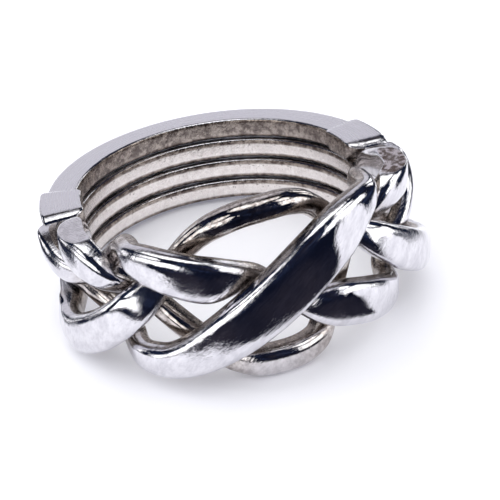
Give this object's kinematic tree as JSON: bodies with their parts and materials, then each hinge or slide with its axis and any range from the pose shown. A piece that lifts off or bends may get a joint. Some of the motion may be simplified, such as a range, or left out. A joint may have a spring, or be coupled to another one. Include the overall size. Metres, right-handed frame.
{
  "type": "four-band puzzle ring",
  "caption": "Metal disentanglement puzzle of closed rings that interlock into one woven band, plain behind and knotted in front.",
  "frame": {"origin": "on the ring axis, at half the height of the four stacked bands", "axes": "+Z along the ring axis out of the top band, -Y towards the knot, +X to the right when facing the knot"},
  "size_m": [0.0483, 0.0474, 0.0227],
  "materials": {
    "leaf_ring_nickel": "mirror-polished nickel plate on the leaves, brushed flat top face, dull as-cast finger side",
    "v_ring_nickel": "mirror-polished nickel plate, satin finger side",
    "diagonal_ring_nickel": "mirror-polished nickel plate, satin finger side",
    "arch_ring_nickel": "mirror-polished nickel plate, satin finger side"
  },
  "bodies": {
    "arch": {"arch_ring": "arch_ring_nickel"},
    "diagonal": {"diagonal_ring": "diagonal_ring_nickel"},
    "v": {"v_ring": "v_ring_nickel"},
    "leaf": {"leaf_ring": "leaf_ring_nickel"}
  },
  "joints": [
    {"name": "diagonal_fan", "type": "hinge", "parent": "arch", "child": "diagonal", "pos_m": [0, -0.012, 0.003], "axis": [1, 0, 0], "range_deg": [0, 3]},
    {"name": "v_fan", "type": "hinge", "parent": "diagonal", "child": "v", "pos_m": [0, -0.012, 0.003], "axis": [1, 0, 0], "range_deg": [0, 1.9]},
    {"name": "leaf_fan", "type": "hinge", "parent": "v", "child": "leaf", "pos_m": [0, -0.012, 0.003], "axis": [1, 0, 0], "range_deg": [0, 0.8]}
  ]
}
